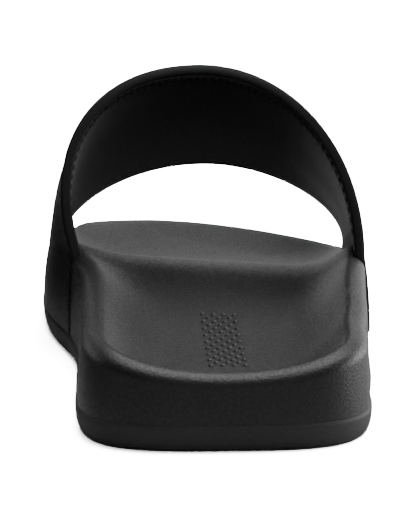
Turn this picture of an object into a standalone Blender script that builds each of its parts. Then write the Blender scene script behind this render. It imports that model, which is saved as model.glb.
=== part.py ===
# Sport slide sandal for the right foot: a moulded footbed on an outsole, and one wide lined strap.
# Metres, +Z up, +Y from heel to toe, +X to the little-toe side. The origin is on the floor under
# the middle of the sole's length and of its greatest width.

import math
from collections import namedtuple

import bmesh
import bpy
from mathutils import Vector

MEDIAL = -1    # big-toe side
LATERAL = 1    # little-toe side

# Plan of the sole
SOLE_LENGTH = 0.280
HEEL_WIDTH = 0.0807
BALL_WIDTH = 0.1076
HEEL_ROUNDING = 0.040        # length of the curve that closes the heel
HEEL_SQUARENESS = 3.3        # exponent of that curve, 2 is an ellipse
TOE_ROUNDING = 0.070         # length of the curves that close the toe
TOE_SWING = 0.0175           # the tip lies this far to the big-toe side
TOE_FULLNESS = {MEDIAL: 2.5, LATERAL: 1.7}

# Heights of the sole above the floor
OUTSOLE_THICKNESS = 0.0073
CLEARANCE = 0.0003           # between glued pieces
HEEL_BACK_HEIGHT = 0.0205    # rim at the middle of the heel's back
HEEL_CORNER_HEIGHT = 0.0255  # rim at the heel's two corners
SIDE_HEIGHT = 0.0350         # the rim's height where its table says 1
TOE_HEIGHT = 0.0164          # rim round the toes, without the toe spring
HEEL_SEAT_HEIGHT = 0.0155    # lowest place of the heel cup
CREST_HEIGHT = 0.0254        # cross ridge behind the ball of the foot
BALL_SEAT_HEIGHT = 0.0130    # bed under the ball and toes
CREST_TILT = 0.0042          # the crest rises this much towards the big-toe side's edge
TOE_SPRING = 0.0035
TOE_SPRING_LENGTH = 0.075

# Edges of the sole
OUTSOLE_LIP = 0.0006         # the outsole stands this far proud of the footbed's wall
LIP_DEPTH = 0.0012           # height of the ledge that this makes
BOTTOM_ROUND = 0.0016        # radius of the outsole's lower edge
WALL_LEAN = {MEDIAL: 0.0012, LATERAL: 0.0007}   # how far the footbed's wall leans in
RIM_ROUND_HEIGHT = 0.0042
RIM_ROUND_WIDTH = 0.0028
HEEL_RIM_INSET = 0.0026      # the rim's top lies this much further in round the heel
HEEL_RIM_FADE = (0.085, 0.185)   # where that starts and ends to fade, from the heel's back
HEEL_SLOPE_WIDTH = 0.018     # from the rim's top down to the bed, at the heel's back
BALL_SLOPE_WIDTH = {MEDIAL: 0.026, LATERAL: 0.021}
BALL_SLOPE_START = 0.140     # where these widths are reached
HEEL_DIP_HALF_WIDTH = 0.042
HEEL_DIP_LENGTH = 0.040
HEEL_DIP_POWER = 1.5         # how soon the dip fades to its two sides
WALL_LEAN_POWER = 1.5        # how late the wall's lean sets in above the outsole
LEDGE_SLOPE = 0.6            # share of the ledge's height that slopes in
SPINE_TOE_SHARE = 0.7        # the sole's middle line ends this share of the toe's curve from the tip

# Tread
TREAD_PITCH = 0.0145
TREAD_WIDTH = 0.0030
TREAD_DEPTH = 0.0014
TREAD_WAVE = 0.0030
TREAD_MARGIN = 0.011

# Strap: places along the shoe are counted from the heel's back
STRAP_OUTER_THICKNESS = 0.0018
LINING_THICKNESS = 0.0012
FOLD_WIDTH = 0.0020          # the outer folds this far over the lining's edges
EDGE_ROUND = 0.0008          # the strap's edges are cut flat, with small rounded corners
STRAP_REAR = 0.121           # rear edge where it leaves the outsole
STRAP_FRONT_MEDIAL = 0.222
STRAP_FRONT_LATERAL = 0.214
CROWN_REAR = 0.148           # rear edge at the top of the arch
CROWN_FRONT = 0.205
INSTEP_HEIGHT = 0.0868       # inside of the arch at the rear edge
TOE_OPENING_HEIGHT = 0.0497  # inside of the arch at the front edge
SEAT_INSET = {MEDIAL: 0.0030, LATERAL: 0.0022}   # depth of the strap's seat in the wall

# Mesh fineness
SIDE_STEPS = 44
BOTTOM_DEGREES = (0, 30, 60, 90)          # round the outsole's lower edge
WALL_SHARES = (0.0, 0.35, 0.7, 1.0)       # up the footbed's wall
RIM_DEGREES = (22, 45, 67, 90)            # over the rim's outer round
SLOPE_SHARES = (0.1, 0.25, 0.45, 0.7, 1.0)   # down the slope inside the rim
BED_SHARES = (0.30, 0.62)                 # from the slope's foot to the sole's middle line
STRAP_STEPS = 20
STRAP_SEAT_STEPS = 3
STRAP_BANDS = 8

STRAP_THICKNESS = LINING_THICKNESS + CLEARANCE + STRAP_OUTER_THICKNESS
HALF_HEEL = HEEL_WIDTH / 2
HALF_BALL = BALL_WIDTH / 2

# Half widths: 0 is half the heel's width and 1 is half the ball's width
PlanRow = namedtuple("PlanRow", "along medial lateral")
PLAN_ROWS = (
    PlanRow(0.00, 0.00, 0.00),
    PlanRow(0.14, -0.02, 0.07),
    PlanRow(0.22, -0.02, 0.27),
    PlanRow(0.34, 0.00, 0.49),
    PlanRow(0.42, 0.17, 0.66),
    PlanRow(0.47, 0.37, 0.75),
    PlanRow(0.52, 0.59, 0.82),
    PlanRow(0.57, 0.76, 0.91),
    PlanRow(0.63, 0.87, 0.99),
    PlanRow(0.69, 0.92, 1.04),
    PlanRow(0.75, 0.91, 1.01),
    PlanRow(0.88, 0.83, 0.86),
    PlanRow(1.00, 0.76, 0.74),
)

WIDEST_ROW = 9

# Rim: 0 is the heel corner's or the toe's height and 1 is the side's height
RimRow = namedtuple("RimRow", "along medial lateral")
RIM_ROWS = (
    RimRow(0.00, 0.00, 0.00),
    RimRow(0.12, 0.15, 0.13),
    RimRow(0.27, 0.46, 0.41),
    RimRow(0.40, 0.72, 0.65),
    RimRow(0.46, 0.76, 0.66),
    RimRow(0.50, 0.81, 0.70),
    RimRow(0.54, 0.82, 0.69),
    RimRow(0.62, 0.56, 0.45),
    RimRow(0.70, 0.39, 0.28),
    RimRow(0.78, 0.28, 0.14),
    RimRow(0.88, 0.16, 0.06),
    RimRow(0.94, 0.14, 0.03),
    RimRow(1.00, 0.00, 0.00),
)

# Bed: 0 is the heel seat's or the ball seat's height and 1 is the crest's height
BedRow = namedtuple("BedRow", "along rise")
BED_ROWS = (
    BedRow(0.00, 0.10),
    BedRow(0.08, 0.03),
    BedRow(0.18, 0.00),
    BedRow(0.27, 0.10),
    BedRow(0.34, 0.27),
    BedRow(0.40, 0.51),
    BedRow(0.45, 0.79),
    BedRow(0.49, 0.96),
    BedRow(0.53, 1.00),
    BedRow(0.57, 0.94),
    BedRow(0.62, 0.70),
    BedRow(0.68, 0.38),
    BedRow(0.74, 0.13),
    BedRow(0.80, 0.03),
    BedRow(0.86, 0.04),
    BedRow(0.93, 0.15),
    BedRow(1.00, 0.28),
)
FRONT_BLEND = (0.30, 0.75)   # share of the length where heel heights give way to toe heights
BOWL_POWER = 2.4             # the slope inside the rim is steep at first and flat at the bed
RIDGE_EASE = 0.08            # share of that slope over which the ridge is softened

# Arch of the strap from its rear edge, 0, to its front edge, 1. Height is 1 at the rear crown and 0
# at the front crown, lean is a share of the rise, reach and shoulder set how full the arch is.
ArchRow = namedtuple(
    "ArchRow", "across height crown_x lean_medial lean_lateral reach shoulder_medial shoulder_lateral"
)
ARCH_ROWS = (
    ArchRow(0.0, 1.00, -0.035, 0.196, 0.005, 0.59, 0.86, 0.56),
    ArchRow(0.5, 0.48, -0.010, 0.010, -0.060, 0.53, 0.70, 0.53),
    ArchRow(1.0, 0.00, 0.034, -0.095, 0.090, 0.47, 0.52, 0.50),
)
RIM_LEAN = {MEDIAL: 0.0018, LATERAL: 0.0018}   # extra inset of the seat at the rim
SEAT_SLANT = 0.0040          # the strap's edges lean towards its middle by this much at the rim
SEAT_CUT_CLIMB = 1.3         # the cut for the seat ends above the rim, between 1 and 2
ARCH_FORWARD = 0.30          # share of the way along to the crown that the arch sets out with


def clamp(value, low=0.0, high=1.0):
    return max(low, min(high, value))


def smooth(share):
    share = clamp(share)
    return share * share * (3 - 2 * share)


def mix(first, second, share):
    return first + (second - first) * share


def through(rows, column, at):
    """A smooth curve through one column of a table, against the table's first column."""
    last = len(rows) - 1
    at = clamp(at, rows[0][0], rows[last][0])
    k = max(i for i in range(last) if rows[i][0] <= at)
    value = [getattr(row, column) for row in rows]

    def slope(i):
        before, after = max(i - 1, 0), min(i + 1, last)
        return (value[after] - value[before]) / (rows[after][0] - rows[before][0])

    width = rows[k + 1][0] - rows[k][0]
    t = (at - rows[k][0]) / width
    start, end = slope(k) * width, slope(k + 1) * width
    return (
        value[k] * (1 + 2 * t) * (1 - t) ** 2
        + start * t * (1 - t) ** 2
        + value[k + 1] * t * t * (3 - 2 * t)
        + end * t * t * (t - 1)
    )


def rounded_end(share, exponent):
    """Width left at this share of an end curve, from 1 where it starts to 0 at its tip."""
    return (1 - clamp(share) ** exponent) ** (1 / exponent)


def side_name(side):
    return "medial" if side == MEDIAL else "lateral"


def edge_x(side, y):
    """X of the sole's outline at y from the heel's back."""
    spread = through(PLAN_ROWS, side_name(side), y / SOLE_LENGTH)
    x = side * mix(HALF_HEEL, HALF_BALL, spread)
    x *= rounded_end(1 - y / HEEL_ROUNDING, HEEL_SQUARENESS)
    toe = (y - (SOLE_LENGTH - TOE_ROUNDING)) / TOE_ROUNDING
    return mix(-TOE_SWING, x, rounded_end(toe, TOE_FULLNESS[side]))


def edge_with_normal(side, y):
    """Point of the outline at y, away from its two ends, and its outward normal, in plan."""
    step = SOLE_LENGTH / 2000
    run = edge_x(side, y + step) - edge_x(side, y - step)
    normal = Vector((2 * step, -run)) * side
    return Vector((edge_x(side, y), y)), normal.normalized()


def side_points(side, steps):
    """Evenly spaced points of one side of the outline, from the heel's back to the toe's tip."""
    fine = 600
    ys = [SOLE_LENGTH * (1 - math.cos(math.pi * k / fine)) / 2 for k in range(fine + 1)]
    dense = [Vector((edge_x(side, y), y)) for y in ys]
    run = [0.0]
    for first, second in zip(dense, dense[1:]):
        run.append(run[-1] + (second - first).length)
    points, k = [], 0
    for i in range(steps + 1):
        wanted = run[-1] * i / steps
        while k < fine - 1 and run[k + 1] < wanted:
            k += 1
        share = (wanted - run[k]) / (run[k + 1] - run[k])
        points.append(dense[k].lerp(dense[k + 1], clamp(share)))
    return points


def outline(steps):
    """Points and outward normals round the sole: heel, little-toe side, toe, big-toe side."""
    points = side_points(LATERAL, steps)[:-1] + side_points(MEDIAL, steps)[:0:-1]
    count = len(points)
    normals = []
    for i in range(count):
        tangent = points[(i + 1) % count] - points[i - 1]
        normals.append(Vector((tangent.y, -tangent.x)).normalized())
    return points, normals


def spring(y):
    """How far the toe spring lifts the sole at y."""
    share = clamp((y - (SOLE_LENGTH - TOE_SPRING_LENGTH)) / TOE_SPRING_LENGTH)
    return TOE_SPRING * share * share


def front_share(y):
    start, end = FRONT_BLEND
    return smooth((y / SOLE_LENGTH - start) / (end - start))


def rim_height(side, x, y):
    base = mix(HEEL_CORNER_HEIGHT, TOE_HEIGHT, front_share(y))
    height = mix(base, SIDE_HEIGHT, through(RIM_ROWS, side_name(side), y / SOLE_LENGTH))
    across = clamp(1 - (x / HEEL_DIP_HALF_WIDTH) ** 2)
    dip = (HEEL_CORNER_HEIGHT - HEEL_BACK_HEIGHT) * across ** HEEL_DIP_POWER
    return height - dip * (1 - smooth(y / HEEL_DIP_LENGTH)) + spring(y)


def bed_height(x, y):
    low = mix(HEEL_SEAT_HEIGHT, BALL_SEAT_HEIGHT, front_share(y))
    rise = through(BED_ROWS, "rise", y / SOLE_LENGTH)
    tilt = CREST_TILT * rise * clamp(-x / HALF_BALL, -1, 1)
    return mix(low, CREST_HEIGHT, rise) + tilt + spring(y)


def seam_height(y):
    """Top of the outsole."""
    return OUTSOLE_THICKNESS + spring(y)


def spine(y):
    """Point of the sole's middle line that a point of the outline at y looks to."""
    y = clamp(y, HEEL_ROUNDING, SOLE_LENGTH - TOE_ROUNDING * SPINE_TOE_SHARE)
    return Vector(((edge_x(MEDIAL, y) + edge_x(LATERAL, y)) / 2, y))


def widest_middle():
    """X of the middle of the sole where it is widest."""
    y = PLAN_ROWS[WIDEST_ROW].along * SOLE_LENGTH
    return (edge_x(MEDIAL, y) + edge_x(LATERAL, y)) / 2


def placed(x, y, z):
    """Point in the part's own frame, from one counted from the heel's back and middle line."""
    return Vector((x - widest_middle(), y - SOLE_LENGTH / 2, z))


def mesh_object(name, points, faces, material):
    mesh = bpy.data.meshes.new(name)
    mesh.from_pydata([tuple(p) for p in points], [], faces)
    mesh.validate()
    work = bmesh.new()
    work.from_mesh(mesh)
    bmesh.ops.recalc_face_normals(work, faces=work.faces)
    work.to_mesh(mesh)
    work.free()
    mesh.shade_smooth()
    mesh.set_sharp_from_angle(angle=math.radians(40))
    if material:
        mesh.materials.append(material)
    made = bpy.data.objects.new(name, mesh)
    bpy.context.scene.collection.objects.link(made)
    return made


def cutter_object(name, points, faces):
    made = mesh_object(name, points, faces, None)
    made.hide_render = True
    made.display_type = "WIRE"
    return made


def cut(target, cutter):
    modifier = target.modifiers.new("cut_" + cutter.name, "BOOLEAN")
    modifier.operation = "DIFFERENCE"
    modifier.solver = "EXACT"
    modifier.object = cutter


def plain_material(name, colour, roughness):
    material = bpy.data.materials.new(name)
    material.use_nodes = True
    shader = material.node_tree.nodes["Principled BSDF"]
    shader.inputs["Base Color"].default_value = (*colour, 1.0)
    shader.inputs["Roughness"].default_value = roughness
    shader.inputs["Metallic"].default_value = 0.0
    return material


def paired_cap(start, count, flip):
    """Faces across a ring, from each point to the one facing it over the sole's middle line."""
    faces = []
    for i in range(count // 2):
        far, near = (count - i) % count, count - i - 1
        corners = [i, i + 1, near, far]
        face = [start + c for c in dict.fromkeys(corners)]
        faces.append(face[::-1] if flip else face)
    return faces


def ring_body(rings):
    """Points and faces of a closed body from rings that run from its underside to its top."""
    count = len(rings[0])
    points = [p for ring in rings for p in ring]
    faces = paired_cap(0, count, True)
    for k in range(len(rings) - 1):
        low, high = k * count, (k + 1) * count
        for i in range(count):
            j = (i + 1) % count
            faces.append([low + i, low + j, high + j, high + i])
    faces += paired_cap((len(rings) - 1) * count, count, False)
    return points, faces


def inset_ring(points, normals, inset, height):
    """Ring at this inset from the outline. Height is a function of the point's y."""
    ring = []
    for p, n in zip(points, normals):
        q = p - n * inset
        ring.append(placed(q.x, q.y, height(q.y)))
    return ring


def slope_width(side, y):
    return mix(HEEL_SLOPE_WIDTH, BALL_SLOPE_WIDTH[side], smooth(y / BALL_SLOPE_START))


def slope_fall(share):
    """How much of the way down to the bed the slope inside the rim has gone."""
    eased = share * share * (1 + RIDGE_EASE) / (share + RIDGE_EASE)
    return 1 - (1 - eased) ** BOWL_POWER


def wall_lean(normal):
    return mix(WALL_LEAN[MEDIAL], WALL_LEAN[LATERAL], (1 + normal.x) / 2)


def rim_inset(normal, y):
    """From the outline to the rim's top, more round the heel."""
    start, end = HEEL_RIM_FADE
    extra = HEEL_RIM_INSET * (1 - smooth((y - start) / (end - start)))
    return wall_lean(normal) + RIM_ROUND_WIDTH + extra


def footbed_rings(steps):
    points, normals = outline(steps)
    sides = [LATERAL if i <= steps else MEDIAL for i in range(len(points))]
    crowns = [rim_height(s, p.x, p.y) for s, p in zip(sides, points)]
    insets = [rim_inset(n, p.y) for n, p in zip(normals, points)]
    ridge = [p - n * inset for p, n, inset in zip(points, normals, insets)]
    targets = [spine(p.y) for p in points]
    slopes = [
        (target - q).normalized() * slope_width(s, q.y) for s, q, target in zip(sides, ridge, targets)
    ]
    rings = []
    for share in WALL_SHARES:
        ring = []
        for p, n, crown in zip(points, normals, crowns):
            q = p - n * wall_lean(n) * share ** WALL_LEAN_POWER
            low = seam_height(p.y) + CLEARANCE
            ring.append(placed(q.x, q.y, mix(low, crown - RIM_ROUND_HEIGHT, share)))
        rings.append(ring)
    for degrees in RIM_DEGREES:
        turn = math.radians(degrees)
        ring = []
        for p, n, crown, inset in zip(points, normals, crowns, insets):
            q = p - n * mix(inset, wall_lean(n), math.cos(turn))
            ring.append(placed(q.x, q.y, crown - RIM_ROUND_HEIGHT * (1 - math.sin(turn))))
        rings.append(ring)
    for share in SLOPE_SHARES:
        ring = []
        for q, slope, crown in zip(ridge, slopes, crowns):
            r = q + slope * share
            ring.append(placed(r.x, r.y, mix(crown, bed_height(r.x, r.y), slope_fall(share))))
        rings.append(ring)
    for share in BED_SHARES:
        ring = []
        for q, slope, target in zip(ridge, slopes, targets):
            r = (q + slope).lerp(target, share)
            ring.append(placed(r.x, r.y, bed_height(r.x, r.y)))
        rings.append(ring)
    return rings


def outsole_rings(steps):
    points, normals = outline(steps)
    rings = []
    for degrees in BOTTOM_DEGREES:
        turn = math.radians(degrees)
        inset = BOTTOM_ROUND * (1 - math.sin(turn)) - OUTSOLE_LIP * math.sin(turn)
        rise = (OUTSOLE_THICKNESS - LIP_DEPTH) * (1 - math.cos(turn))
        rings.append(inset_ring(points, normals, inset, lambda y, r=rise: spring(y) + r))
    ledge = LIP_DEPTH * LEDGE_SLOPE
    rings.append(inset_ring(points, normals, -OUTSOLE_LIP, lambda y: seam_height(y) - ledge))
    rings.append(inset_ring(points, normals, 0.0, seam_height))
    return rings


def tread_cutters():
    """One wavy bar across the sole for each groove, all in one mesh."""
    points, faces = [], []
    waves, steps = 2, 12
    start, end = HEEL_ROUNDING / 2, SOLE_LENGTH - TOE_ROUNDING / 2
    for k in range(int((end - start) / TREAD_PITCH) + 1):
        y = start + k * TREAD_PITCH
        near = min(y + TREAD_WAVE, SOLE_LENGTH)
        far = max(y - TREAD_WAVE, 0.0)
        left = max(edge_x(MEDIAL, near), edge_x(MEDIAL, far)) + TREAD_MARGIN
        right = min(edge_x(LATERAL, near), edge_x(LATERAL, far)) - TREAD_MARGIN
        first = len(points)
        for i in range(steps + 1):
            share = i / steps
            x = mix(left, right, share)
            wave = y + TREAD_WAVE * math.cos(2 * math.pi * waves * share)
            for edge, z in ((-1, -1), (1, -1), (1, 1), (-1, 1)):
                beside = wave + edge * TREAD_WIDTH / 2
                points.append(placed(x, beside, spring(beside) + z * TREAD_DEPTH))
        for i in range(steps):
            a, b = first + 4 * i, first + 4 * i + 4
            for c in range(4):
                d = (c + 1) % 4
                faces.append([a + c, a + d, b + d, b + c])
        faces.append([first, first + 3, first + 2, first + 1])
        last = first + 4 * steps
        faces.append([last, last + 1, last + 2, last + 3])
    return points, faces


def strap_inner(side, climb, across):
    """Point of the strap's inner face on one side. Climb runs from 0 at the outsole through 1 at the
    rim to 2 at the crown, and across from 0 at the rear edge to 1 at the front edge."""
    front = STRAP_FRONT_MEDIAL if side == MEDIAL else STRAP_FRONT_LATERAL
    base_y = mix(STRAP_REAR, front, across)
    rim_y = base_y + SEAT_SLANT * (1 - 2 * across)
    if climb <= 1:
        y = mix(base_y, rim_y, climb)
        edge, normal = edge_with_normal(side, y)
        low = seam_height(y) + CLEARANCE
        high = rim_height(side, edge.x, y)
        q = edge - normal * (SEAT_INSET[side] + RIM_LEAN[side] * climb ** 2)
        return Vector((q.x, q.y, mix(low, high, climb)))
    start = strap_inner(side, 1, across)
    crown = Vector(
        (
            through(ARCH_ROWS, "crown_x", across) * HALF_BALL,
            mix(CROWN_REAR, CROWN_FRONT, across),
            mix(TOE_OPENING_HEIGHT, INSTEP_HEIGHT, through(ARCH_ROWS, "height", across)),
        )
    )
    rise = crown.z - start.z
    lean = through(ARCH_ROWS, "lean_" + side_name(side), across) * rise
    reach = through(ARCH_ROWS, "reach", across)
    shoulder = through(ARCH_ROWS, "shoulder_" + side_name(side), across)
    first = Vector((start.x + side * lean, mix(start.y, crown.y, ARCH_FORWARD), start.z + rise * reach))
    second = Vector((mix(crown.x, start.x, shoulder), crown.y, crown.z))
    t = climb - 1
    return (
        start * (1 - t) ** 3
        + first * 3 * t * (1 - t) ** 2
        + second * 3 * t * t * (1 - t)
        + crown * t ** 3
    )


def strap_station(around, across):
    """Inner face at a place round the arch: -2 big-toe side's end, 0 crown, 2 little-toe side's end."""
    side = MEDIAL if around < 0 else LATERAL
    return strap_inner(side, 2 - abs(around), across)


def strap_point(around, across, offset):
    """Point of the strap this far outside its inner face."""
    small = 0.004
    low, high = clamp(across - small), clamp(across + small)
    back, ahead = clamp(around - small, -2, 2), clamp(around + small, -2, 2)
    along = strap_station(around, high) - strap_station(around, low)
    round_arch = strap_station(ahead, across) - strap_station(back, across)
    normal = along.cross(round_arch).normalized() * -1
    point = strap_station(around, across) + normal * offset
    return placed(*point)


def strap_width(around):
    steps = 12
    points = [strap_station(around, i / steps) for i in range(steps + 1)]
    return sum((b - a).length for a, b in zip(points, points[1:]))


def strap_arounds():
    """Places round the arch, from the big-toe side's end to the little-toe side's end."""
    seat = [i / STRAP_SEAT_STEPS for i in range(STRAP_SEAT_STEPS)]
    arch = [1 + i / STRAP_STEPS for i in range(STRAP_STEPS + 1)]
    climb = seat + arch
    return [c - 2 for c in climb] + [2 - c for c in reversed(climb[:-1])]


def strap_outer_section(width):
    """Loop of (distance from the rear edge, offset): a band whose two edges fold over the lining."""
    top = STRAP_THICKNESS
    inner = LINING_THICKNESS + CLEARANCE
    corner = EDGE_ROUND * (1 - math.sqrt(0.5))
    loop = []
    for k in range(STRAP_BANDS + 1):
        loop.append((mix(EDGE_ROUND, width - EDGE_ROUND, k / STRAP_BANDS), top))
    loop += [(width - corner, top - corner), (width, top - EDGE_ROUND)]
    loop += [(width, EDGE_ROUND), (width - corner, corner), (width - EDGE_ROUND, 0.0)]
    loop += [(width - FOLD_WIDTH, 0.0)]
    for k in range(STRAP_BANDS + 1):
        loop.append((mix(width - FOLD_WIDTH, FOLD_WIDTH, k / STRAP_BANDS), inner))
    loop += [(FOLD_WIDTH, 0.0), (EDGE_ROUND, 0.0)]
    loop += [(corner, corner), (0.0, EDGE_ROUND), (0.0, top - EDGE_ROUND), (corner, top - corner)]
    return loop


def lining_section(width):
    """Loop of the lining, which lies between the two folds."""
    start = FOLD_WIDTH + CLEARANCE
    end = width - start
    loop = [(mix(start, end, k / STRAP_BANDS), LINING_THICKNESS) for k in range(STRAP_BANDS + 1)]
    loop += [(mix(end, start, k / STRAP_BANDS), 0.0) for k in range(STRAP_BANDS + 1)]
    return loop


def band_body(section):
    """Sweeps a section round the arch and closes its two ends."""
    points, faces, size = [], [], 0
    arounds = strap_arounds()
    for around in arounds:
        width = strap_width(around)
        loop = section(width)
        size = len(loop)
        points += [strap_point(around, w / width, offset) for w, offset in loop]
    for k in range(len(arounds) - 1):
        low, high = k * size, (k + 1) * size
        for i in range(size):
            j = (i + 1) % size
            faces.append([low + i, low + j, high + j, high + i])
    faces.append(list(range(size))[::-1])
    faces.append([(len(arounds) - 1) * size + i for i in range(size)])
    return points, faces


def seat_cutter(side):
    """What the strap takes from the footbed's wall on one side, with clearance all round."""
    deep, out = -CLEARANCE, STRAP_THICKNESS + SEAT_INSET[side]
    arounds = [a for a in strap_arounds() if a * side >= 2 - SEAT_CUT_CLIMB]
    arounds.sort(key=abs, reverse=True)
    rings = []
    for around in arounds:
        width = strap_width(around)
        margin = CLEARANCE / width
        across = [mix(-margin, 1 + margin, k / STRAP_BANDS) for k in range(STRAP_BANDS + 1)]
        loop = [(a, deep) for a in across] + [(a, out) for a in reversed(across)]
        ring = []
        for a, offset in loop:
            beyond = Vector((0, (a - clamp(a)) * width, 0))
            ring.append(strap_point(around, clamp(a), offset) + beyond)
        rings.append(ring)
    rings.insert(0, [p - Vector((0, 0, OUTSOLE_THICKNESS / 2)) for p in rings[0]])
    points = [p for ring in rings for p in ring]
    size = len(rings[0])
    faces = [list(range(size)), [(len(rings) - 1) * size + k for k in range(size)]]
    for low in range(0, (len(rings) - 1) * size, size):
        for k in range(size):
            j = (k + 1) % size
            faces.append([low + k, low + j, low + size + j, low + size + k])
    return points, faces


def build():
    for old in list(bpy.data.objects):
        bpy.data.objects.remove(old)
    rubber = plain_material("outsole_foam", (0.020, 0.020, 0.021), 0.55)
    foam = plain_material("footbed_foam", (0.024, 0.024, 0.025), 0.50)
    leather = plain_material("strap_synthetic", (0.014, 0.014, 0.015), 0.42)
    cloth = plain_material("lining_cloth", (0.012, 0.012, 0.012), 0.85)

    outsole = mesh_object("outsole", *ring_body(outsole_rings(SIDE_STEPS)), rubber)
    cut(outsole, cutter_object("tread", *tread_cutters()))

    footbed = mesh_object("footbed", *ring_body(footbed_rings(SIDE_STEPS)), foam)
    cut(footbed, cutter_object("seat_medial", *seat_cutter(MEDIAL)))
    cut(footbed, cutter_object("seat_lateral", *seat_cutter(LATERAL)))

    mesh_object("strap_outer", *band_body(strap_outer_section), leather)
    mesh_object("strap_lining", *band_body(lining_section), cloth)


build()
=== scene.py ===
# Slide sandal for the right foot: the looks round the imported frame.
# Metres, +Y from heel to toe, +X to the little-toe side, +Z up, as in the frame.
import math
from functools import lru_cache

import bmesh
import bpy
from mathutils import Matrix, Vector


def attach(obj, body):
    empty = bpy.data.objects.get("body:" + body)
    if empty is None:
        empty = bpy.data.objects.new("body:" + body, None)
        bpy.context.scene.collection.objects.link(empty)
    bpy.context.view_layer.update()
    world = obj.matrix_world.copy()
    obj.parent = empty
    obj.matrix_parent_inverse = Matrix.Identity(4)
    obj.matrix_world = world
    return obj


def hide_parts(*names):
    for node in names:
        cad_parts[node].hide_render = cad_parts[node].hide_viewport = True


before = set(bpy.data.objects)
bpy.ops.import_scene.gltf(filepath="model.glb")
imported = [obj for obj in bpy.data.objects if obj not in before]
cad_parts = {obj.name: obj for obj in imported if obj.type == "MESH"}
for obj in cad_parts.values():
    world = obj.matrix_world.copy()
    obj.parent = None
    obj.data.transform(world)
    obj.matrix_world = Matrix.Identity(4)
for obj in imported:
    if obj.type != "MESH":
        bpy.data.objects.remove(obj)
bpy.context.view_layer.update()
print("frame loaded:", ", ".join(sorted(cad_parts)))

medial, lateral = -1, 1    # big-toe side and little-toe side


# Shared sums

def clamp(value, low=0.0, high=1.0):
    return max(low, min(high, value))


def smooth(share):
    share = clamp(share)
    return share * share * (3 - 2 * share)


def mix(first, second, share):
    return first + (second - first) * share


def through(rows, column, at):
    # a smooth curve through one column of a table, against its first column
    last = len(rows) - 1
    at = clamp(at, rows[0][0], rows[last][0])
    k = max(i for i in range(last) if rows[i][0] <= at)

    def slope(i):
        before, after = max(i - 1, 0), min(i + 1, last)
        return (rows[after][column] - rows[before][column]) / (rows[after][0] - rows[before][0])

    width = rows[k + 1][0] - rows[k][0]
    t = (at - rows[k][0]) / width
    return (
        rows[k][column] * (1 + 2 * t) * (1 - t) ** 2
        + slope(k) * width * t * (1 - t) ** 2
        + rows[k + 1][column] * t * t * (3 - 2 * t)
        + slope(k + 1) * width * t * t * (t - 1)
    )


def meshPiece(name, points, faces, material, sharpAngle=40):
    mesh = bpy.data.meshes.new(name)
    mesh.from_pydata([tuple(p) for p in points], [], faces)
    mesh.validate()
    work = bmesh.new()
    work.from_mesh(mesh)
    bmesh.ops.recalc_face_normals(work, faces=work.faces)
    work.to_mesh(mesh)
    work.free()
    mesh.shade_smooth()
    mesh.set_sharp_from_angle(angle=math.radians(sharpAngle))
    if material:
        mesh.materials.append(material)
    piece = bpy.data.objects.new(name, mesh)
    bpy.context.scene.collection.objects.link(piece)
    return piece


def cutAway(piece, cutters, sharpAngle=40):
    # carves the cutters out of the piece for good and removes them
    for cutter in cutters:
        modifier = piece.modifiers.new("cut", "BOOLEAN")
        modifier.operation = "DIFFERENCE"
        modifier.solver = "EXACT"
        modifier.object = cutter
    graph = bpy.context.evaluated_depsgraph_get()
    carved = bpy.data.meshes.new_from_object(piece.evaluated_get(graph))
    piece.modifiers.clear()
    piece.data = carved
    for cutter in cutters:
        bpy.data.objects.remove(cutter)
    carved.shade_smooth()
    carved.set_sharp_from_angle(angle=math.radians(sharpAngle))


def joinRings(rings):
    # faces between neighbouring closed rings of equal length
    count = len(rings[0])
    faces = []
    for k in range(len(rings) - 1):
        for i in range(count):
            j = (i + 1) % count
            faces.append([k * count + i, k * count + j, (k + 1) * count + j, (k + 1) * count + i])
    return faces


# Materials: first the effects that several of them share

def newGroup(name, inputs, outputs):
    group = bpy.data.node_groups.new(name, "ShaderNodeTree")
    for label, kind, value in inputs:
        socket = group.interface.new_socket(name=label, in_out="INPUT", socket_type=kind)
        if value is not None:
            socket.default_value = value
    for label, kind in outputs:
        group.interface.new_socket(name=label, in_out="OUTPUT", socket_type=kind)
    return group, group.nodes.new("NodeGroupInput"), group.nodes.new("NodeGroupOutput")


def addNode(tree, kind, inputs=None, **settings):
    node = tree.nodes.new(kind)
    for key, value in settings.items():
        setattr(node, key, value)
    for key, value in (inputs or {}).items():
        if isinstance(value, bpy.types.NodeSocket):
            tree.links.new(value, node.inputs[key])
        else:
            node.inputs[key].default_value = value
    return node


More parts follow.
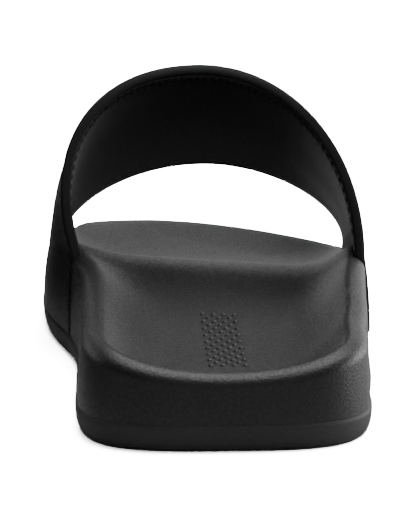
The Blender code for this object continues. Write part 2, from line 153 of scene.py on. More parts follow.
def makeGrainGroup():
    # fine moulded or embossed grain: a height for bump and a mask of its hollows
    group, source, sink = newGroup(
        "FineGrain",
        [
            ("Pebble per metre", "NodeSocketFloat", 900.0),
            ("Sand per metre", "NodeSocketFloat", 2600.0),
            ("Sand share", "NodeSocketFloat", 0.4),
        ],
        [("Height", "NodeSocketFloat"), ("Hollow", "NodeSocketFloat")],
    )
    place = addNode(group, "ShaderNodeTexCoord").outputs["Object"]
    cells = addNode(
        group, "ShaderNodeTexVoronoi",
        {"Vector": place, "Scale": source.outputs["Pebble per metre"], "Randomness": 0.9},
        feature="SMOOTH_F1",
    )
    sand = addNode(
        group, "ShaderNodeTexNoise",
        {"Vector": place, "Scale": source.outputs["Sand per metre"], "Detail": 2.0},
    )
    rounded = addNode(group, "ShaderNodeMapRange", {
        "Value": cells.outputs["Distance"], "From Min": 0.0, "From Max": 0.7,
        "To Min": 1.0, "To Max": 0.0,
    })
    both = addNode(group, "ShaderNodeMix", {
        "Factor": source.outputs["Sand share"],
        "A": rounded.outputs["Result"], "B": sand.outputs["Fac"],
    })
    hollow = addNode(group, "ShaderNodeMapRange", {
        "Value": both.outputs["Result"], "From Min": 0.35, "From Max": 0.65,
        "To Min": 1.0, "To Max": 0.0,
    })
    group.links.new(both.outputs["Result"], sink.inputs["Height"])
    group.links.new(hollow.outputs["Result"], sink.inputs["Hollow"])
    return group


def makeDriftAndPaintedShadeGroup():
    # broad, faint unevenness of tone, as on moulded foam and handled leather, and painted shade that
    # darkens the grain's hollows
    group, source, sink = newGroup(
        "ToneDriftAndPaintedShade",
        [
            ("Colour", "NodeSocketColor", (0.02, 0.02, 0.02, 1.0)),
            ("Patches per metre", "NodeSocketFloat", 30.0),
            ("Drift", "NodeSocketFloat", 0.15),
            ("Hollow", "NodeSocketFloat", 0.0),
            ("Hollow shade", "NodeSocketFloat", 0.2),
        ],
        [("Colour", "NodeSocketColor")],
    )
    place = addNode(group, "ShaderNodeTexCoord").outputs["Object"]
    noise = addNode(group, "ShaderNodeTexNoise", {
        "Vector": place, "Scale": source.outputs["Patches per metre"], "Detail": 3.0,
    })
    centred = addNode(group, "ShaderNodeMath", {0: noise.outputs["Fac"], 1: 0.5}, operation="SUBTRACT")
    swing = addNode(
        group, "ShaderNodeMath",
        {0: centred.outputs[0], 1: source.outputs["Drift"]}, operation="MULTIPLY",
    )
    # painted shade: the grain's hollows are darkened by the hollow-shade share
    shade = addNode(
        group, "ShaderNodeMath",
        {0: source.outputs["Hollow"], 1: source.outputs["Hollow shade"]}, operation="MULTIPLY",
    )
    level = addNode(group, "ShaderNodeMath", {0: 1.0, 1: swing.outputs[0]}, operation="ADD")
    gain = addNode(
        group, "ShaderNodeMath", {0: level.outputs[0], 1: shade.outputs[0]}, operation="SUBTRACT",
    )
    tinted = addNode(
        group, "ShaderNodeVectorMath",
        {0: source.outputs["Colour"], "Scale": gain.outputs[0]}, operation="SCALE",
    )
    group.links.new(tinted.outputs["Vector"], sink.inputs["Colour"])
    return group


grainGroup = makeGrainGroup()
driftAndPaintedShadeGroup = makeDriftAndPaintedShadeGroup()


def placeGroup(tree, group, inputs):
    return addNode(tree, "ShaderNodeGroup", inputs, node_tree=group)


def surface(name, values):
    # one matte black finish; the values say how coarse, deep and glossy it is
    material = bpy.data.materials.new(name)
    material.use_nodes = True
    tree = material.node_tree
    shader = tree.nodes["Principled BSDF"]
    grain = placeGroup(tree, grainGroup, {
        "Pebble per metre": values["pebble"], "Sand per metre": values["sand"],
        "Sand share": values["sandShare"],
    })
    # the tone drifts at random, and the grain's hollows get painted shade
    tone = placeGroup(tree, driftAndPaintedShadeGroup, {
        "Colour": (*values["colour"], 1.0), "Patches per metre": values["patches"],
        "Drift": values["drift"], "Hollow": grain.outputs["Hollow"],
        "Hollow shade": values["hollowShade"],
    })
    bump = addNode(tree, "ShaderNodeBump", {
        "Height": grain.outputs["Height"], "Strength": values["bump"],
        "Distance": values["depth"],
    })
    rough = addNode(tree, "ShaderNodeMapRange", {
        "Value": grain.outputs["Hollow"],
        "To Min": values["rough"], "To Max": values["roughHollow"],
    })
    tree.links.new(tone.outputs["Colour"], shader.inputs["Base Color"])
    tree.links.new(bump.outputs["Normal"], shader.inputs["Normal"])
    tree.links.new(rough.outputs["Result"], shader.inputs["Roughness"])
    shader.inputs["Specular IOR Level"].default_value = values["specular"]
    return material


footbedFinish = surface("footbed foam, sandy", {
    "colour": (0.020, 0.020, 0.021), "pebble": 1500.0, "sand": 3000.0, "sandShare": 0.50,
    "patches": 45.0, "drift": 0.20, "hollowShade": 0.35, "bump": 0.40, "depth": 0.0003,
    "rough": 0.35, "roughHollow": 0.51, "specular": 0.58,
})
outsoleFinish = surface("outsole foam, smooth", {
    "colour": (0.058, 0.058, 0.059), "pebble": 2200.0, "sand": 4200.0, "sandShare": 0.6,
    "patches": 35.0, "drift": 0.15, "hollowShade": 0.10, "bump": 0.25, "depth": 0.0002,
    "rough": 0.56, "roughHollow": 0.64, "specular": 0.4,
})
strapFinish = surface("strap coating, soft matte", {
    "colour": (0.010, 0.010, 0.011), "pebble": 1100.0, "sand": 3000.0, "sandShare": 0.35,
    "patches": 30.0, "drift": 0.15, "hollowShade": 0.12, "bump": 0.22, "depth": 0.0002,
    "rough": 0.46, "roughHollow": 0.54, "specular": 0.5,
})
liningFinish = surface("lining cloth, napped", {
    "colour": (0.004, 0.004, 0.004), "pebble": 2600.0, "sand": 5200.0, "sandShare": 0.6,
    "patches": 60.0, "drift": 0.30, "hollowShade": 0.30, "bump": 0.30, "depth": 0.0002,
    "rough": 0.36, "roughHollow": 0.50, "specular": 0.72,
})
threadFinish = surface("thread, black", {
    "colour": (0.016, 0.016, 0.016), "pebble": 4000.0, "sand": 8000.0, "sandShare": 0.5,
    "patches": 90.0, "drift": 0.10, "hollowShade": 0.20, "bump": 0.3, "depth": 0.0001,
    "rough": 0.50, "roughHollow": 0.60, "specular": 0.5,
})
print("materials made")


# Outline of the sole, counted from the heel's back and the heel's middle line

sole = {
    "length": 0.280, "heelWidth": 0.0807, "ballWidth": 0.1076,
    "heelRounding": 0.040, "heelSquareness": 3.3,
    "toeRounding": 0.070, "toeSwing": 0.0175, "toeFullness": {medial: 2.5, lateral: 1.7},
    "toeSpring": 0.0035, "toeSpringLength": 0.075,
    "outsoleThickness": 0.0073, "clearance": 0.0003,
    "widest": 0.69, "normalSteps": 2000,
}
# share of the length, then spread from heel width to ball width on the medial and lateral side
planRows = (
    (0.00, 0.00, 0.00), (0.14, -0.02, 0.07), (0.22, -0.02, 0.27), (0.34, 0.00, 0.49),
    (0.42, 0.17, 0.66), (0.47, 0.37, 0.75), (0.52, 0.59, 0.82), (0.57, 0.76, 0.91),
    (0.63, 0.87, 0.99), (0.69, 0.92, 1.04), (0.75, 0.91, 1.01), (0.88, 0.83, 0.86),
    (1.00, 0.76, 0.74),
)


def column(side):
    return 1 if side == medial else 2


def roundedEnd(share, exponent):
    return (1 - clamp(share) ** exponent) ** (1 / exponent)


@lru_cache(maxsize=None)
def edgeX(side, y):
    spread = through(planRows, column(side), y / sole["length"])
    x = side * mix(sole["heelWidth"], sole["ballWidth"], spread) / 2
    x *= roundedEnd(1 - y / sole["heelRounding"], sole["heelSquareness"])
    toe = (y - (sole["length"] - sole["toeRounding"])) / sole["toeRounding"]
    return mix(-sole["toeSwing"], x, roundedEnd(toe, sole["toeFullness"][side]))


def edgeWithNormal(side, y):
    step = sole["length"] / sole["normalSteps"]
    run = edgeX(side, y + step) - edgeX(side, y - step)
    return Vector((edgeX(side, y), y)), (Vector((2 * step, -run)) * side).normalized()


def sidePoints(side, steps):
    # evenly spaced points of one side, from the heel's back to the toe's tip
    fine = 1500
    ys = [sole["length"] * (1 - math.cos(math.pi * k / fine)) / 2 for k in range(fine + 1)]
    dense = [Vector((edgeX(side, y), y)) for y in ys]
    run = [0.0]
    for first, second in zip(dense, dense[1:]):
        run.append(run[-1] + (second - first).length)
    points, k = [], 0
    for i in range(steps + 1):
        wanted = run[-1] * i / steps
        while k < fine - 1 and run[k + 1] < wanted:
            k += 1
        share = (wanted - run[k]) / (run[k + 1] - run[k])
        points.append(dense[k].lerp(dense[k + 1], clamp(share)))
    return points


def outline(steps):
    points = sidePoints(lateral, steps)[:-1] + sidePoints(medial, steps)[:0:-1]
    count = len(points)
    normals = []
    for i in range(count):
        tangent = points[(i + 1) % count] - points[i - 1]
        normals.append(Vector((tangent.y, -tangent.x)).normalized())
    return points, normals


def spring(y):
    share = clamp(1 - (sole["length"] - y) / sole["toeSpringLength"])
    return sole["toeSpring"] * share * share


def seamHeight(y):
    return sole["outsoleThickness"] + spring(y)


widestY = sole["widest"] * sole["length"]
middleX = (edgeX(medial, widestY) + edgeX(lateral, widestY)) / 2


def placed(x, y, z):
    return Vector((x - middleX, y - sole["length"] / 2, z))


def pairedCap(start, count):
    # strips across a ring, from each point to the one facing it over the middle line
    faces = []
    for i in range(count // 2):
        far, near = (count - i) % count, count - i - 1
        faces.append([start + c for c in dict.fromkeys([i, i + 1, near, far])])
    return faces


def ringBody(rings):
    count = len(rings[0])
    points = [p for ring in rings for p in ring]
    faces = pairedCap(0, count) + joinRings(rings) + pairedCap((len(rings) - 1) * count, count)
    return points, faces


# Footbed

footbed = {
    "heelBack": 0.0205, "heelCorner": 0.0255, "side": 0.0350, "toe": 0.0164,
    "heelSeat": 0.0155, "crest": 0.0254, "ballSeat": 0.0130, "crestTilt": 0.0042,
    "wallLean": {medial: 0.0012, lateral: 0.0007}, "leanPower": 1.5,
    "roundHeight": 0.0042, "roundWidth": 0.0028, "heelInset": 0.0026, "insetFade": (0.085, 0.185),
    "heelSlope": 0.018, "ballSlope": {medial: 0.026, lateral: 0.021}, "ballSlopeStart": 0.140,
    "dipHalfWidth": 0.042, "dipLength": 0.040, "dipPower": 1.5, "spineToeShare": 0.7,
    "frontBlend": (0.30, 0.75), "bowlPower": 2.4, "ridgeEase": 0.08, "seam": 0.00004,
    "steps": 190, "wallRings": 7, "roundRings": 10, "slopeRings": 16, "bedRings": 12,
    "bedReach": 0.96,
}
# share of the length, then rise of the rim on the medial and lateral side
rimRows = (
    (0.00, 0.00, 0.00), (0.12, 0.15, 0.13), (0.27, 0.46, 0.41), (0.40, 0.72, 0.65),
    (0.46, 0.76, 0.66), (0.50, 0.81, 0.70), (0.54, 0.82, 0.69), (0.62, 0.56, 0.45),
    (0.70, 0.39, 0.28), (0.78, 0.28, 0.14), (0.88, 0.16, 0.06), (0.94, 0.14, 0.03),
    (1.00, 0.00, 0.00),
)
# share of the length, then rise of the bed from the seats to the crest
bedRows = (
    (0.00, 0.10), (0.08, 0.03), (0.18, 0.00), (0.27, 0.10), (0.34, 0.27), (0.40, 0.51),
    (0.45, 0.79), (0.49, 0.96), (0.53, 1.00), (0.57, 0.94), (0.62, 0.70), (0.68, 0.38),
    (0.74, 0.13), (0.80, 0.03), (0.86, 0.04), (0.93, 0.15), (1.00, 0.28),
)


def frontShare(y):
    start, end = footbed["frontBlend"]
    return smooth((y / sole["length"] - start) / (end - start))


def slopeFall(share):
    # steep inside the rim, flat at the bed
    eased = share * share * (1 + footbed["ridgeEase"]) / (share + footbed["ridgeEase"])
    return 1 - (1 - eased) ** footbed["bowlPower"]


def rimHeight(side, x, y):
    base = mix(footbed["heelCorner"], footbed["toe"], frontShare(y))
    height = mix(base, footbed["side"], through(rimRows, column(side), y / sole["length"]))
    across = clamp(1 - (x / footbed["dipHalfWidth"]) ** 2)
    dip = (footbed["heelCorner"] - footbed["heelBack"]) * across ** footbed["dipPower"]
    return height - dip * (1 - smooth(y / footbed["dipLength"])) + spring(y)


def bedHeight(x, y):
    low = mix(footbed["heelSeat"], footbed["ballSeat"], frontShare(y))
    rise = through(bedRows, 1, y / sole["length"])
    tilt = footbed["crestTilt"] * rise * clamp(-x / (sole["ballWidth"] / 2), -1, 1)
    return mix(low, footbed["crest"], rise) + tilt + spring(y)


def spine(y):
    y = clamp(y, sole["heelRounding"], sole["length"] - sole["toeRounding"] * footbed["spineToeShare"])
    return Vector(((edgeX(medial, y) + edgeX(lateral, y)) / 2, y))


def slopeWidth(side, y):
    reached = smooth(y / footbed["ballSlopeStart"])
    return mix(footbed["heelSlope"], footbed["ballSlope"][side], reached)


def wallLean(normal):
    lean = footbed["wallLean"]
    return mix(lean[medial], lean[lateral], (1 + normal.x) / 2)


def footbedRings():
    steps = footbed["steps"]
    points, normals = outline(steps)
    sides = [lateral if i <= steps else medial for i in range(len(points))]
    crowns = [rimHeight(s, p.x, p.y) for s, p in zip(sides, points)]
    insets = []
    fadeStart, fadeEnd = footbed["insetFade"]
    for p, n in zip(points, normals):
        faded = smooth((p.y - fadeStart) / (fadeEnd - fadeStart))
        extra = footbed["heelInset"] * (1 - faded)
        insets.append(wallLean(n) + footbed["roundWidth"] + extra)
    ridge = [p - n * inset for p, n, inset in zip(points, normals, insets)]
    targets = [spine(p.y) for p in points]
    slopes = [(t - q).normalized() * slopeWidth(s, q.y) for s, q, t in zip(sides, ridge, targets)]
    rings = []
    for k in range(footbed["wallRings"] + 1):
        share = k / footbed["wallRings"]
        ring = []
        for p, n, crown in zip(points, normals, crowns):
            q = p - n * wallLean(n) * share ** footbed["leanPower"]
            low = seamHeight(p.y) + footbed["seam"]
            ring.append(placed(q.x, q.y, mix(low, crown - footbed["roundHeight"], share)))
        rings.append(ring)
    for k in range(1, footbed["roundRings"] + 1):
        turn = math.pi / 2 * k / footbed["roundRings"]
        ring = []
        for p, n, crown, inset in zip(points, normals, crowns, insets):
            q = p - n * mix(inset, wallLean(n), math.cos(turn))
            ring.append(placed(q.x, q.y, crown - footbed["roundHeight"] * (1 - math.sin(turn))))
        rings.append(ring)
    for k in range(1, footbed["slopeRings"] + 1):
        share = k / footbed["slopeRings"]
        ring = []
        for q, slope, crown in zip(ridge, slopes, crowns):
            r = q + slope * share
            ring.append(placed(r.x, r.y, mix(crown, bedHeight(r.x, r.y), slopeFall(share))))
        rings.append(ring)
    for k in range(1, footbed["bedRings"] + 1):
        ring = []
        for q, slope, target in zip(ridge, slopes, targets):
            r = (q + slope).lerp(target, footbed["bedReach"] * k / footbed["bedRings"])
            ring.append(placed(r.x, r.y, bedHeight(r.x, r.y)))
        rings.append(ring)
    return rings


# Strap: its inner face first, which lining, outer band, seats and stitches all follow

strap = {
    "outerThickness": 0.0018, "liningThickness": 0.0012, "fold": 0.0020, "edgeRound": 0.0008,
    "rear": 0.121, "front": {medial: 0.222, lateral: 0.214},
    "crownRear": 0.148, "crownFront": 0.205, "instep": 0.0868, "toeOpening": 0.0497,
    "seatInset": {medial: 0.0030, lateral: 0.0022}, "rimLean": {medial: 0.0018, lateral: 0.0018},
    "slant": 0.0040, "forward": 0.30,
    "cutClimb": 1.3, "seatSteps": 10, "archSteps": 60, "bands": 30,
}
strapThickness = strap["liningThickness"] + sole["clearance"] + strap["outerThickness"]
# share across, crown height, crown x, lean medial and lateral, reach, shoulder medial and lateral
archRows = (
    (0.0, 1.00, -0.035, 0.196, 0.005, 0.59, 0.86, 0.56),
    (0.5, 0.48, -0.010, 0.010, -0.060, 0.53, 0.70, 0.53),
    (1.0, 0.00, 0.034, -0.095, 0.090, 0.47, 0.52, 0.50),
)


@lru_cache(maxsize=None)
def strapInner(side, climb, across):
    # climb: 0 outsole, 1 rim, 2 crown; across: 0 rear edge, 1 front edge
    baseY = mix(strap["rear"], strap["front"][side], across)
    rimY = baseY + strap["slant"] * (1 - 2 * across)
    if climb <= 1:
        y = mix(baseY, rimY, climb)
        edge, normal = edgeWithNormal(side, y)
        low = seamHeight(y) + sole["clearance"]
        high = rimHeight(side, edge.x, y)
        q = edge - normal * (strap["seatInset"][side] + strap["rimLean"][side] * climb ** 2)
        return Vector((q.x, q.y, mix(low, high, climb)))
    start = strapInner(side, 1, across)
    height = through(archRows, 1, across)
    crown = Vector((
        through(archRows, 2, across) * sole["ballWidth"] / 2,
        mix(strap["crownRear"], strap["crownFront"], across),
        mix(strap["toeOpening"], strap["instep"], height),
    ))
    rise = crown.z - start.z
    lean = through(archRows, 2 + column(side), across) * rise
    reach = through(archRows, 5, across)
    shoulder = through(archRows, 5 + column(side), across)
    firstY = mix(start.y, crown.y, strap["forward"])
    first = Vector((start.x + side * lean, firstY, start.z + rise * reach))
    second = Vector((mix(crown.x, start.x, shoulder), crown.y, crown.z))
    t = climb - 1
    return (
        start * (1 - t) ** 3 + first * 3 * t * (1 - t) ** 2
        + second * 3 * t * t * (1 - t) + crown * t ** 3
    )


def strapStation(around, across):
    side = medial if around < 0 else lateral
    return strapInner(side, 2 - abs(around), across)


@lru_cache(maxsize=None)
def strapFrame(around, across):
    # point of the inner face, its outward normal and the way round the arch
    small = 0.004
    low, high = clamp(across - small), clamp(across + small)
    back, ahead = clamp(around - small, -2, 2), clamp(around + small, -2, 2)
    along = (strapStation(around, high) - strapStation(around, low)).normalized()
    aroundWay = (strapStation(ahead, across) - strapStation(back, across)).normalized()
    normal = along.cross(aroundWay).normalized() * -1
    return strapStation(around, across), normal, aroundWay


def strapPoint(around, across, offset):
    point, normal, _ = strapFrame(around, clamp(across))
    return placed(*(point + normal * offset))


@lru_cache(maxsize=None)
def strapWidth(around):
    steps = 16
    points = [strapStation(around, i / steps) for i in range(steps + 1)]
    return sum((b - a).length for a, b in zip(points, points[1:]))


@lru_cache(maxsize=None)
def strapArounds(archSteps=strap["archSteps"]):
    seat = [i / strap["seatSteps"] for i in range(strap["seatSteps"])]
    arch = [1 + i / archSteps for i in range(archSteps + 1)]
    climb = seat + arch
    return [c - 2 for c in climb] + [2 - c for c in reversed(climb[:-1])]


def seatCutter(side):
    deep, out = -sole["clearance"], strapThickness + strap["seatInset"][side]
    arounds = [a for a in strapArounds() if a * side >= 2 - strap["cutClimb"]]
    arounds.sort(key=abs, reverse=True)
    rings = []
    for around in arounds:
        width = strapWidth(around)
        margin = sole["clearance"] / width
        across = [mix(-margin, 1 + margin, k / strap["bands"]) for k in range(strap["bands"] + 1)]
        loop = [(a, deep) for a in across] + [(a, out) for a in reversed(across)]
        ring = []
        for a, offset in loop:
            beyond = Vector((0, (a - clamp(a)) * width, 0))
            ring.append(strapPoint(around, a, offset) + beyond)
        rings.append(ring)
    rings.insert(0, [p - Vector((0, 0, sole["outsoleThickness"] / 2)) for p in rings[0]])
    points = [p for ring in rings for p in ring]
    size = len(rings[0])
    ends = [list(range(size)), [(len(rings) - 1) * size + k for k in range(size)]]
    return meshPiece("seatCut", points, ends + joinRings(rings), None)


def buildFootbed():
    piece = meshPiece("footbed_moulded", *ringBody(footbedRings()), footbedFinish)
    cutAway(piece, [seatCutter(medial), seatCutter(lateral)])
    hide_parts("footbed")
    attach(piece, "root")


buildFootbed()
print("footbed made")


# Outsole with its ledge and wavy tread

outsole = {
    "lip": 0.0006, "lipDepth": 0.0012, "bottomRound": 0.0016, "steps": 190, "turns": 9,
    "treadPitch": 0.0145, "treadWidth": 0.0030, "treadDepth": 0.0014,
    "treadWave": 0.0030, "treadMargin": 0.011, "waves": 2, "treadSteps": 48,
    # share of the lip's depth below the seam, share of the lip's reach
    "ledge": ((0.72, 1.0), (0.62, 0.93), (0.52, 0.84), (0.26, 0.42), (0.0, 0.0)),
}


def outsoleRings():
    points, normals = outline(outsole["steps"])

    def ring(inset, rise):
        made = []
        for p, n in zip(points, normals):
            q = p - n * inset
            made.append(placed(q.x, q.y, spring(q.y) + rise))
        return made

    rings = []
    lipStart = sole["outsoleThickness"] - outsole["lipDepth"]
    for k in range(outsole["turns"] + 1):
        turn = math.pi / 2 * k / outsole["turns"]
        inset = outsole["bottomRound"] * (1 - math.sin(turn)) - outsole["lip"] * math.sin(turn)
        rings.append(ring(inset, lipStart * (1 - math.cos(turn))))
    for down, out in outsole["ledge"]:
        drop = outsole["lipDepth"] * down
        rings.append(ring(-outsole["lip"] * out, sole["outsoleThickness"] - drop))
    return rings


def treadCutter():
    points, faces = [], []
    start, end = sole["heelRounding"] / 2, sole["length"] - sole["toeRounding"] / 2
    wave, steps = outsole["treadWave"], outsole["treadSteps"]
    for k in range(int((end - start) / outsole["treadPitch"]) + 1):
        y = start + k * outsole["treadPitch"]
        near, far = min(y + wave, sole["length"]), max(y - wave, 0.0)
        left = max(edgeX(medial, near), edgeX(medial, far)) + outsole["treadMargin"]
        right = min(edgeX(lateral, near), edgeX(lateral, far)) - outsole["treadMargin"]
        first = len(points)
        rings = []
        for i in range(steps + 1):
            x = mix(left, right, i / steps)
            middle = y + wave * math.cos(2 * math.pi * outsole["waves"] * i / steps)
            ring = []
            for edge, z in ((-1, -1), (1, -1), (1, 1), (-1, 1)):
                beside = middle + edge * outsole["treadWidth"] / 2
                ring.append(placed(x, beside, spring(beside) + z * outsole["treadDepth"]))
            rings.append(ring)
        points += [p for ring in rings for p in ring]
        local = joinRings(rings) + [[0, 3, 2, 1], [4 * steps + c for c in range(4)]]
        faces += [[first + c for c in face] for face in local]
    return meshPiece("treadCut", points, faces, None)


def buildOutsole():
    piece = meshPiece("outsole_band", *ringBody(outsoleRings()), outsoleFinish)
    cutAway(piece, [treadCutter()])
    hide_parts("outsole")
    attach(piece, "root")


buildOutsole()
print("outsole made")


# Strap band, lining and the stitches that hold its edges

seamWork = {
    "pitch": 0.0024, "scallop": 0.00035, "stitchInset": 0.0011, "stitchLength": 0.0017,
    "stitchRadius": 0.00022, "puff": 0.00035, "puffWidth": 0.0022, "edgeDrop": 0.0004,
    "holdWidth": 0.0008, "rearHold": 0.30, "frontHold": 0.1, "rearRise": 0.55, "frontRise": 0.10,
    "startClimb": 1.08, "archSteps": 270, "middleBands": 14,
    "edgeShares": (0.0, 0.08, 0.2, 0.36, 0.55, 0.77, 1.0),
}


def sweepBand(section, arounds):
    rings = []
    for around in arounds:
        width = strapWidth(around)
        rings.append([strapPoint(around, w / width, offset) for w, offset in section(around, width)])
    points = [p for ring in rings for p in ring]
    size = len(rings[0])
    ends = [list(range(size)), [(len(rings) - 1) * size + i for i in range(size)]]
    return points, ends + joinRings(rings)


def roundedCorner(w, offset, wWay, offsetWay, radius, steps=4):
    # points of a quarter turn that leaves along w and ends along the offset
    turn = []
    for k in range(steps + 1):
        angle = math.pi / 2 * k / steps
        turn.append((
            w - wWay * radius * (1 - math.sin(angle)),
            offset + offsetWay * radius * (1 - math.cos(angle)),
        ))
    return turn


def outerSection(around, width):
    # clockwise from the rear edge over the outside, round the front edge and back
    top, radius = strapThickness, strap["edgeRound"]
    inner = strap["liningThickness"] + sole["clearance"]
    fold, bands = strap["fold"], strap["bands"]
    loop = [(mix(radius, width - radius, k / bands), top) for k in range(bands)]
    loop += roundedCorner(width, top, 1, -1, radius)
    loop += roundedCorner(width, 0.0, 1, 1, radius)[::-1]
    loop += [(width - fold, 0.0)]
    loop += [(mix(width - fold, fold, k / bands), inner) for k in range(bands + 1)]
    loop += [(fold, 0.0)]
    loop += roundedCorner(0.0, 0.0, -1, 1, radius)
    loop += roundedCorner(0.0, top, -1, -1, radius)[:0:-1]
    return loop


def arcLengths():
    arounds = strapArounds(seamWork["archSteps"])
    run = [0.0]
    for a, b in zip(arounds, arounds[1:]):
        run.append(run[-1] + (strapStation(b, 0.5) - strapStation(a, 0.5)).length)
    return arounds, run


stationArounds, stationRun = arcLengths()
runOf = dict(zip(stationArounds, stationRun))


def liningSection(around, width):
    # a scalloped rear edge, a plain front edge and a soft puff just inside each
    free = smooth((2 - abs(around) - 1) / (seamWork["startClimb"] - 1))
    wave = 0.5 + 0.5 * math.cos(2 * math.pi * runOf[around] / seamWork["pitch"])
    plain = strap["fold"] + sole["clearance"]
    start = plain + seamWork["scallop"] * wave * free
    end = width - plain
    bands = seamWork["middleBands"]
    first = start + seamWork["puffWidth"]
    ws = [mix(start, first, share) for share in seamWork["edgeShares"]]
    ws += [mix(first, width - first, k / bands) for k in range(1, bands)]
    ws += [mix(width - first, end, 1 - share) for share in reversed(seamWork["edgeShares"])]
    loop = [(w, strap["liningThickness"]) for w in ws]
    for w in reversed(ws):
        inside = min(w - start, end - w)
        rollOff = math.sqrt(clamp(1 - (1 - clamp(inside / seamWork["puffWidth"])) ** 2))
        hold = seamWork["rearHold"] if w < width / 2 else seamWork["frontHold"]
        away = (inside - seamWork["stitchInset"]) / seamWork["holdWidth"]
        pull = 1 - hold * wave * math.exp(-away ** 2)
        drop = seamWork["edgeDrop"]
        loop.append((w, (drop - (drop + seamWork["puff"]) * rollOff * pull) * free))
    return loop


def capsule(centre, way, up, length, radius, sides=6, caps=2, blunt=0.2):
    # a short thread with rounded ends
    across = way.cross(up).normalized()
    up = across.cross(way).normalized()
    rings = []
    places = []
    for k in range(caps + 1):
        turn = math.pi / 2 * k / caps
        thin = math.sin(max(turn, blunt))
        places.append((radius * (1 - math.cos(turn)) - length / 2, radius * thin))
    places += [(-w, r) for w, r in reversed(places)]
    for along, r in places:
        ring = []
        for s in range(sides):
            angle = 2 * math.pi * s / sides
            ring.append(centre + way * along + (across * math.cos(angle) + up * math.sin(angle)) * r)
        rings.append(ring)
    points = [p for ring in rings for p in ring]
    faces = joinRings(rings)
    faces += [list(range(sides))[::-1], [(len(rings) - 1) * sides + s for s in range(sides)]]
    return points, faces


def buildStrap():
    shell = meshPiece("strap_shell", *sweepBand(outerSection, strapArounds()), strapFinish)
    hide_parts("strap_outer")
    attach(shell, "root")
    body = sweepBand(liningSection, stationArounds)
    lining = meshPiece("lining_soft", *body, liningFinish, 60)
    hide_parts("strap_lining")
    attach(lining, "root")


def aroundAt(run):
    # place round the arch at this distance from the medial end
    k = max(i for i in range(len(stationRun) - 1) if stationRun[i] <= run)
    share = (run - stationRun[k]) / (stationRun[k + 1] - stationRun[k])
    return mix(stationArounds[k], stationArounds[k + 1], clamp(share))


def buildStitches():
    points, faces = [], []
    count = int(stationRun[-1] / seamWork["pitch"])
    for k in range(count):
        around = aroundAt((k + 0.5) * seamWork["pitch"])
        if 2 - abs(around) < seamWork["startClimb"]:
            continue
        width = strapWidth(around)
        inset = strap["fold"] + sole["clearance"] + seamWork["stitchInset"]
        for w, rise in ((inset, seamWork["rearRise"]), (width - inset, seamWork["frontRise"])):
            point, normal, way = strapFrame(around, w / width)
            centre = placed(*(point - normal * (seamWork["puff"] * rise)))
            made, sides = capsule(
                centre, way, normal, seamWork["stitchLength"], seamWork["stitchRadius"],
            )
            faces += [[len(points) + c for c in face] for face in sides]
            points += made
    piece = meshPiece("lining_stitches", points, faces, threadFinish)
    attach(piece, "root")


buildStrap()
buildStitches()
print("strap made")


# Low round dots where the heel rests

dots = {
    "startY": 0.037, "endY": 0.097, "middleX": 0.0020, "columns": 4, "rows": 17,
    "gap": 0.0032, "radius": 0.0011, "height": 0.0006, "sink": 0.0002, "rings": 4, "sides": 14,
}


def buildDots():
    points, faces = [], []
    rings, sides = dots["rings"], dots["sides"]
    for row in range(dots["rows"]):
        y = mix(dots["startY"], dots["endY"], row / (dots["rows"] - 1))
        columns = dots["columns"] - row % 2
        for k in range(columns):
            x = dots["middleX"] + (k - (columns - 1) / 2) * dots["gap"]
            first = len(points)
            loops = []
            for ring in range(rings + 1):
                out = ring / rings
                sink = dots["sink"] if ring == rings else 0
                loop = []
                for s in range(sides):
                    angle = 2 * math.pi * s / sides
                    u = x + math.cos(angle) * out * dots["radius"]
                    v = y + math.sin(angle) * out * dots["radius"]
                    rise = dots["height"] * math.cos(math.pi / 2 * out) - sink
                    loop.append(placed(u, v, bedHeight(u, v) + rise))
                loops.append(loop)
            top = loops.pop(0)[0]
            points += [p for loop in loops for p in loop] + [top]
            faces += [[first + c for c in face] for face in joinRings(loops)]
            last = len(points) - 1
            faces += [[first + s, first + (s + 1) % sides, last] for s in range(sides)]
            faces.append([first + (rings - 1) * sides + s for s in range(sides)])
    piece = meshPiece("heel_grip_dots", points, faces, footbedFinish, 70)
    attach(piece, "root")


buildDots()
print("heel dots made")


# Stage, light and camera

studio = {
    "floorReach": 6.0, "floorTone": 0.65, "cameraFloor": 50.0,
    "worldTone": (0.95, 0.97, 1.0), "worldLevel": 0.03,
    "shade": (
        (-0.098, -0.14, 0), (-0.076, 0.13, 0), (-0.076, 0.13, 0.030), (-0.072, 0.09, 0.034),
        (-0.070, 0.06, 0.078), (-0.072, 0.00, 0.083), (-0.080, -0.02, 0.034), (-0.098, -0.14, 0.026),
    ),
    "cameraAt": (-0.0325, -0.7615, 0.158), "yaw": 2.0, "turn": -4.43, "pitch": -9.7, "lens": 168.0,
}
# place, aim, size across and up, glow
softboxes = {
    "overhead": ((0.20, 0.30, 1.30), (0.0, 0.0, 0.03), (1.2, 1.2), 3.6),
    "backWall": ((0.20, 2.60, 0.60), (0.0, 0.0, 0.30), (3.6, 1.2), 0.9),
    "rightWall": ((1.80, 0.70, 0.50), (0.0, 0.0, 0.25), (2.2, 1.0), 4.4),
    "leftWall": ((-1.60, 1.30, 0.80), (0.0, 0.0, 0.10), (1.2, 0.8), 1.1),
    "cameraSide": ((0.30, -2.20, 0.90), (0.0, 0.0, 0.05), (1.6, 1.0), 0.5),
}


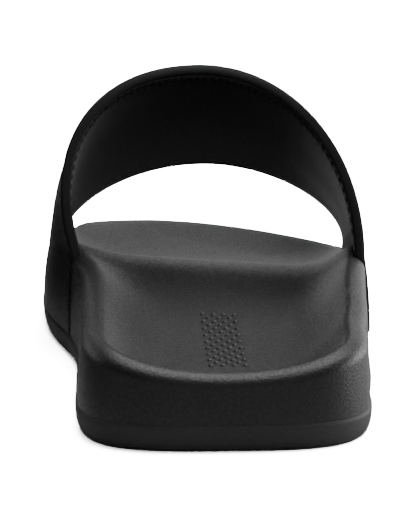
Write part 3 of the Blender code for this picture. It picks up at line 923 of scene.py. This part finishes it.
def buildStage():
    far = studio["floorReach"]
    corners = [(-far, -far, 0), (far, -far, 0), (far, far, 0), (-far, far, 0)]
    floor = meshPiece("floor", corners, [[0, 1, 2, 3]], None)
    material = bpy.data.materials.new("pale floor")
    material.use_nodes = True
    tree = material.node_tree
    shader = tree.nodes["Principled BSDF"]
    shader.inputs["Base Color"].default_value = (studio["floorTone"],) * 3 + (1.0,)
    shader.inputs["Roughness"].default_value = 0.9
    shader.inputs["Specular IOR Level"].default_value = 0.0
    # the camera sees the floor as overexposed white, as behind a studio shot
    rays = addNode(tree, "ShaderNodeLightPath")
    bright = addNode(tree, "ShaderNodeBsdfDiffuse", {"Color": (studio["cameraFloor"],) * 3 + (1.0,)})
    both = addNode(tree, "ShaderNodeMixShader", {0: rays.outputs["Is Camera Ray"]})
    tree.links.new(shader.outputs[0], both.inputs[1])
    tree.links.new(bright.outputs[0], both.inputs[2])
    tree.links.new(both.outputs[0], tree.nodes["Material Output"].inputs["Surface"])
    floor.data.materials.append(material)
    # a dark card keeps light off the big-toe side, as the pair's other shoe does in the photo
    card = list(range(len(studio["shade"])))
    shade = meshPiece("side_shade", studio["shade"], [card], outsoleFinish)
    shade.visible_camera = False
    world = bpy.data.worlds.new("studio")
    world.use_nodes = True
    background = world.node_tree.nodes["Background"]
    background.inputs["Color"].default_value = (*studio["worldTone"], 1.0)
    background.inputs["Strength"].default_value = studio["worldLevel"]
    bpy.context.scene.world = world


def buildLights():
    for name, (at, aim, size, glow) in softboxes.items():
        light = bpy.data.lights.new(name, "AREA")
        light.shape = "RECTANGLE"
        light.size, light.size_y = size
        light.energy = glow * math.pi * size[0] * size[1]
        holder = bpy.data.objects.new(name, light)
        holder.location = at
        holder.rotation_euler = (Vector(aim) - Vector(at)).to_track_quat("-Z", "Y").to_euler()
        holder.visible_camera = False
        bpy.context.scene.collection.objects.link(holder)


def buildCamera():
    camera = bpy.data.cameras.new("photoView")
    camera.lens = studio["lens"]
    camera.sensor_width = 36
    camera.clip_start = 0.02
    holder = bpy.data.objects.new("photoView", camera)
    holder.location = studio["cameraAt"]
    heading = math.radians(studio["yaw"] + studio["turn"])
    holder.rotation_euler = (math.radians(90 + studio["pitch"]), 0, heading)
    bpy.context.scene.collection.objects.link(holder)
    bpy.context.scene.camera = holder


buildStage()
buildLights()
buildCamera()
print("stage, lights and camera made")
